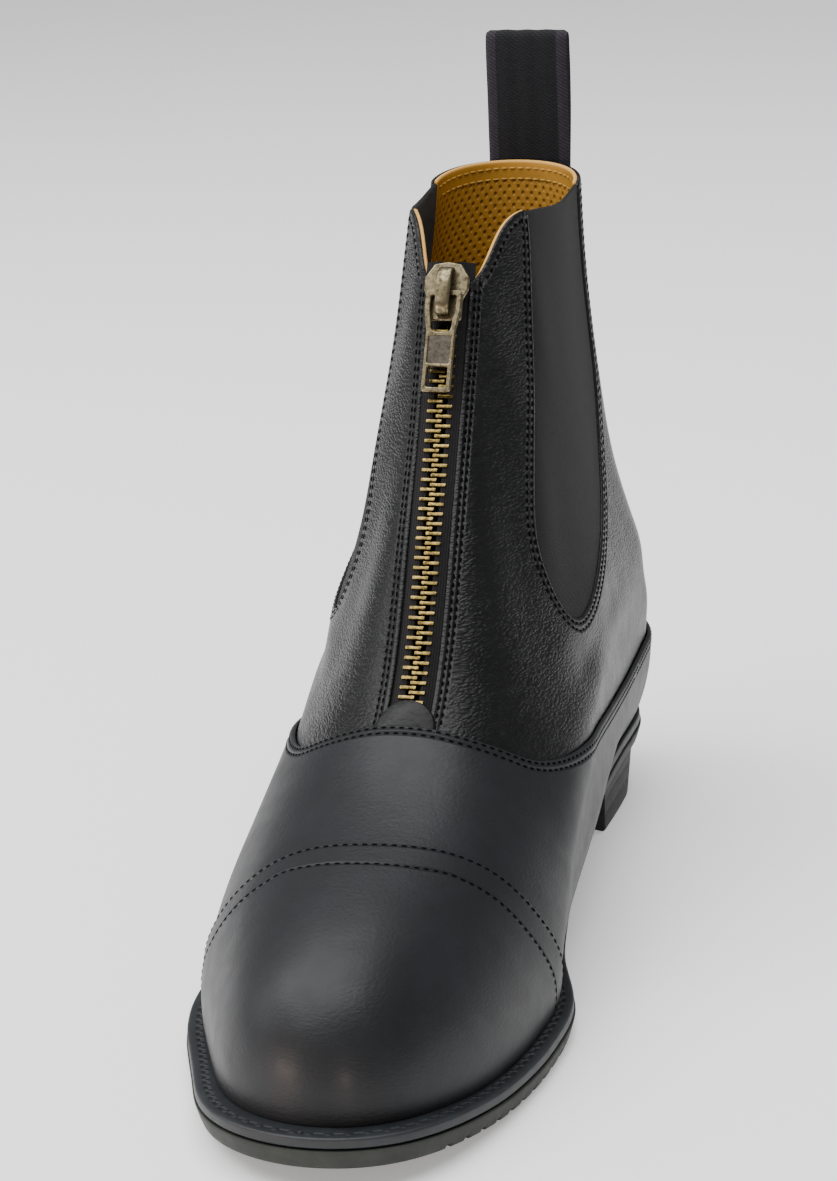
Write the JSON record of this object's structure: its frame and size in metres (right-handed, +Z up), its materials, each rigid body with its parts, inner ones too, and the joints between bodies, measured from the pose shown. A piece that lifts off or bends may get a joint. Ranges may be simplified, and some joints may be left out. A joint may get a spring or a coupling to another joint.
{
  "type": "paddock boot",
  "caption": "Black leather paddock boot for the right foot, with a front metal zip, elastic side panels, stitched toe cap, low heel and webbing pull loop.",
  "frame": {"origin": "on the floor, under the middle of the boot's bounding box", "axes": "+Z up, -Y towards the toe, +X towards the medial (inner) side of this right boot"},
  "size_m": [0.0892, 0.2674, 0.2065],
  "materials": {
    "quarter_leather": "semi-gloss",
    "vamp_leather": "smooth polished",
    "cap_leather": "smooth polished",
    "elastic": "matte",
    "insole_leather": "matte",
    "welt_rubber": "matte with stitch marks",
    "outsole_rubber": "matte moulded",
    "heel_rubber": "matte moulded",
    "zip_tape": "matte",
    "antique_brass": "aged",
    "slider_brass": "satin",
    "tab_brass": "bare plate",
    "webbing": "matte"
  },
  "bodies": {
    "boot": {"upper": "quarter_leather", "vamp": "vamp_leather", "toe_cap": "cap_leather", "back_strip": "vamp_leather", "zip_foot_piece": "quarter_leather", "gore_medial": "elastic", "gore_lateral": "elastic", "insole": "insole_leather", "midsole_welt": "welt_rubber", "outsole": "outsole_rubber", "heel": "heel_rubber", "zip_tape_medial": "zip_tape", "zip_tape_lateral": "zip_tape", "zip_chain": "antique_brass", "zip_slider": "slider_brass", "pull_loop": "webbing"},
    "pull_tab": {"zip_pull": "tab_brass"}
  },
  "joints": [
    {"name": "tab_swing", "type": "hinge", "parent": "boot", "child": "pull_tab", "pos_m": [-0.00195, 0.03394, 0.15518], "axis": [-1, 0, 0], "range_deg": [0, 150]}
  ]
}
